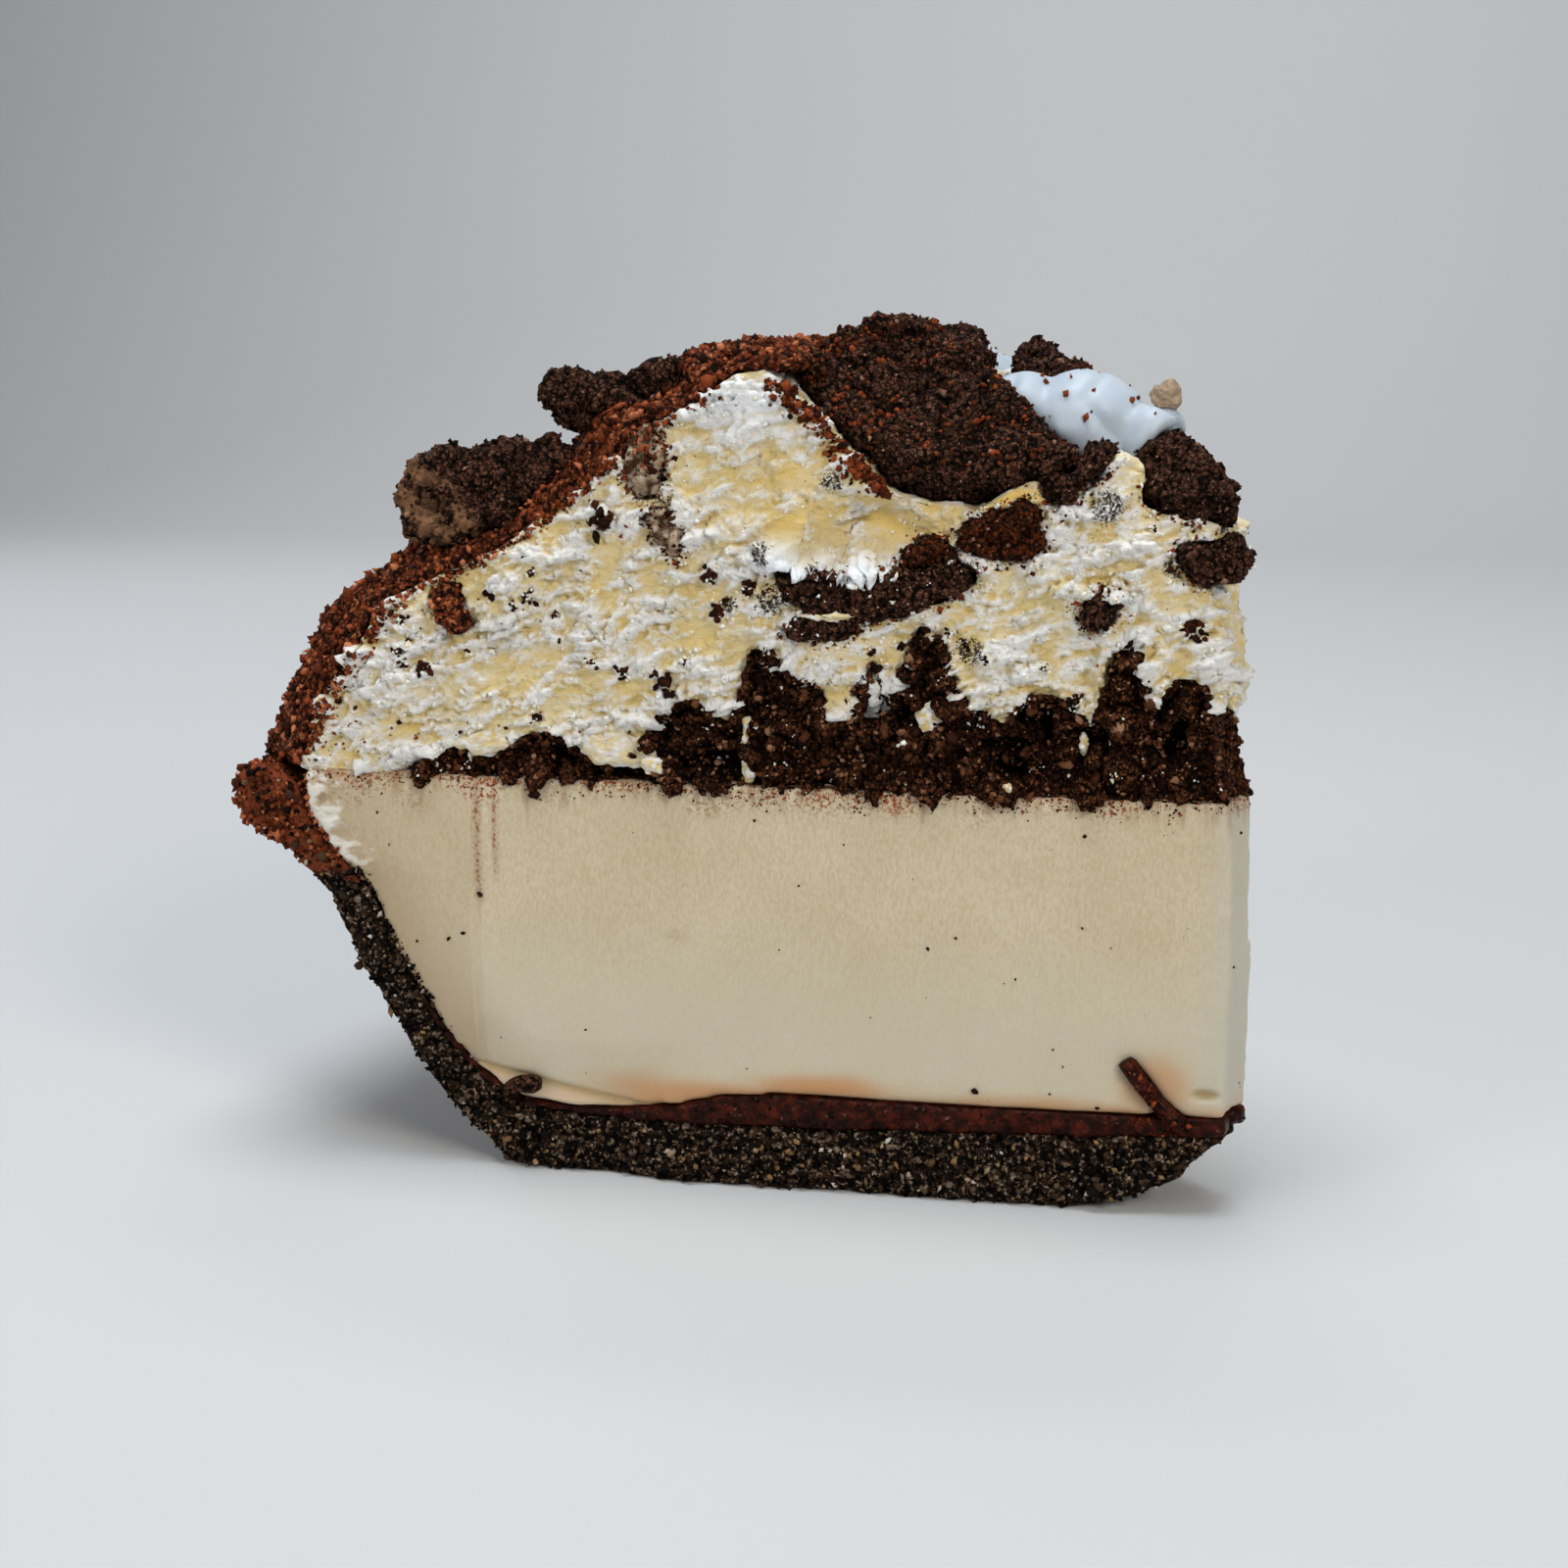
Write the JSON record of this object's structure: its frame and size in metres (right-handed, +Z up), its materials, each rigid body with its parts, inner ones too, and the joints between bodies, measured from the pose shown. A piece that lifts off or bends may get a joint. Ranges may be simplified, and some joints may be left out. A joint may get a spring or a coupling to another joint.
{
  "type": "slice of ice cream pie",
  "caption": "Tall wedge of ice cream pie: chocolate crumb crust, fudge, vanilla ice cream, crushed cookies, whipped cream and a crumb top with broken cookies.",
  "frame": {"origin": "middle of the slice's bounding box, on the table under its crust", "axes": "+X from the crust's rim to the slice's tip, along the front cut face; -Y is the side that the front cut face looks to; +Z up"},
  "size_m": [0.1156, 0.0872, 0.0981],
  "materials": {
    "crust": "matte, coarse chocolate crumbs pressed together",
    "fudge": "glossy, dark chocolate sauce",
    "ice_cream": "satin, smooth and pale cream-coloured",
    "cookie_layer": "matte, crushed dark chocolate cookies",
    "cream": "matte, torn and fluffy whipped cream",
    "crumb_coat": "matte, loose reddish-brown chocolate crumbs",
    "dollop": "satin, smooth white whipped cream",
    "cookie": "matte, broken dark chocolate cookie"
  },
  "bodies": {
    "root": {"crust": "crust", "fudge": "fudge", "fudge_hook": "fudge", "ice_cream": "ice_cream", "cookie_layer": "cookie_layer", "cream": "cream", "crumb_coat": "crumb_coat", "dollop_front": "dollop", "dollop_back": "dollop", "cookie_large": "cookie", "cookie_left": "cookie", "cookie_upper_left": "cookie", "cookie_right": "cookie", "cookie_ridge": "cookie", "cookie_behind": "cookie", "cookie_wafer": "cookie", "cookie_crest": "cookie", "cookie_slope": "cookie", "cookie_shoulder": "cookie", "cookie_back": "cookie", "cookie_back_low": "cookie", "slab_front": "cookie", "cookie_front": "cookie", "cookie_tail": "cookie", "cookie_tip": "cookie", "cookie_small": "cookie", "lump_high": "cookie", "lump_low": "cookie", "crumb_cluster": "cookie", "slab_back": "cookie", "cookie_back_face": "cookie", "cookie_back_high": "cookie"}
  },
  "joints": []
}
